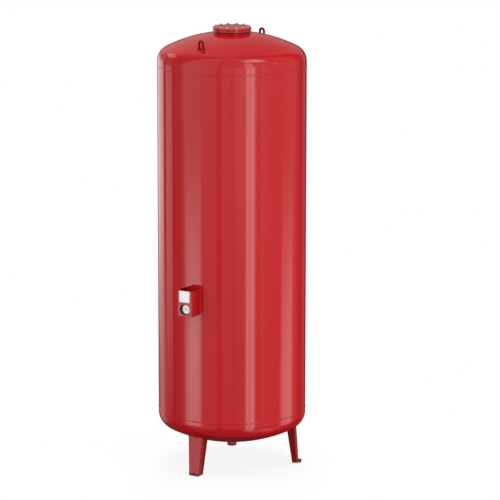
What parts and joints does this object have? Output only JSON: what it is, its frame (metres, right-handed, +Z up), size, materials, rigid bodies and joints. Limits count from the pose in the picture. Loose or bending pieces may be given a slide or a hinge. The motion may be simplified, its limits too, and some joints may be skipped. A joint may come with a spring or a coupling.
{
  "type": "expansion tank",
  "caption": "Floor-standing bladder expansion tank: welded red steel vessel on pressed legs, bolted top cover, lifting eyes, bottom pipe connection, guarded pressure gauge and gas valve.",
  "frame": {"origin": "on the floor, on the vessel's axis, under the middle of the legs' circle", "axes": "+Z up along the vessel's axis, -Y to the front where the gauge guard is, +X to the right seen from the front"},
  "size_m": [0.7424, 0.8156, 2.2194],
  "materials": {
    "red_paint": "glossy red powder coat",
    "cover_fasteners": "bright zinc plate",
    "eye_paint": "glossy red powder coat on round bar",
    "leg_paint": "glossy red powder coat on pressed sheet",
    "guard_paint": "glossy red powder coat on bent sheet",
    "connection_paint": "red powder coat, thin on the thread",
    "bladder_rubber": "matt moulded rubber",
    "clamp_band": "bright stainless band",
    "label_white": "bare white film",
    "valve_brass": "turned brass",
    "cap_plastic": "black moulded plastic",
    "case_black": "satin black paint",
    "bezel_black": "gloss black paint",
    "lens_glass": "clear flat window",
    "dial_white": "matt white print face",
    "pointer_black": "matt black"
  },
  "bodies": {
    "tank": {"shell_cylinder": "red_paint", "longitudinal_weld": "red_paint", "upper_head": "red_paint", "lower_head": "red_paint", "upper_girth_weld": "red_paint", "lower_girth_weld": "red_paint", "flange_ring": "red_paint", "flange_ring_weld": "red_paint", "cover_plate": "red_paint", "cover_washers": "cover_fasteners", "cover_bolts": "cover_fasteners", "vent_plug": "cover_fasteners", "vent_plug_washer": "cover_fasteners", "bladder": "bladder_rubber", "bladder_clamp": "clamp_band", "connection_pipe": "connection_paint", "connection_weld": "red_paint", "lifting_eye_front": "eye_paint", "lifting_eye_weld_front": "eye_paint", "lifting_eye_rear": "eye_paint", "lifting_eye_weld_rear": "eye_paint", "leg_front": "leg_paint", "leg_weld_front": "leg_paint", "leg_right": "leg_paint", "leg_weld_right": "leg_paint", "leg_left": "leg_paint", "leg_weld_left": "leg_paint", "gauge_guard": "guard_paint", "guard_welds": "guard_paint", "label_plate": "label_white", "shell_boss": "red_paint", "boss_weld": "red_paint", "valve_block": "valve_brass", "gas_valve": "valve_brass", "gauge_stem": "valve_brass", "gauge_case": "case_black", "gauge_bezel": "bezel_black", "gauge_lens": "lens_glass", "gauge_dial": "dial_white", "gauge_movement": "valve_brass", "bourdon_tube": "valve_brass"},
    "pointer": {"gauge_pointer": "pointer_black"},
    "cap": {"valve_cap": "cap_plastic"}
  },
  "joints": [
    {"name": "pointer_turn", "type": "hinge", "parent": "tank", "child": "pointer", "pos_m": [0, -0.429, 0.8675], "axis": [0, 1, 0], "range_deg": [-81, 189]},
    {"name": "cap_removal", "type": "slide", "parent": "tank", "child": "cap", "axis": [0, 0, 1], "range_m": [0, 0.012]}
  ]
}
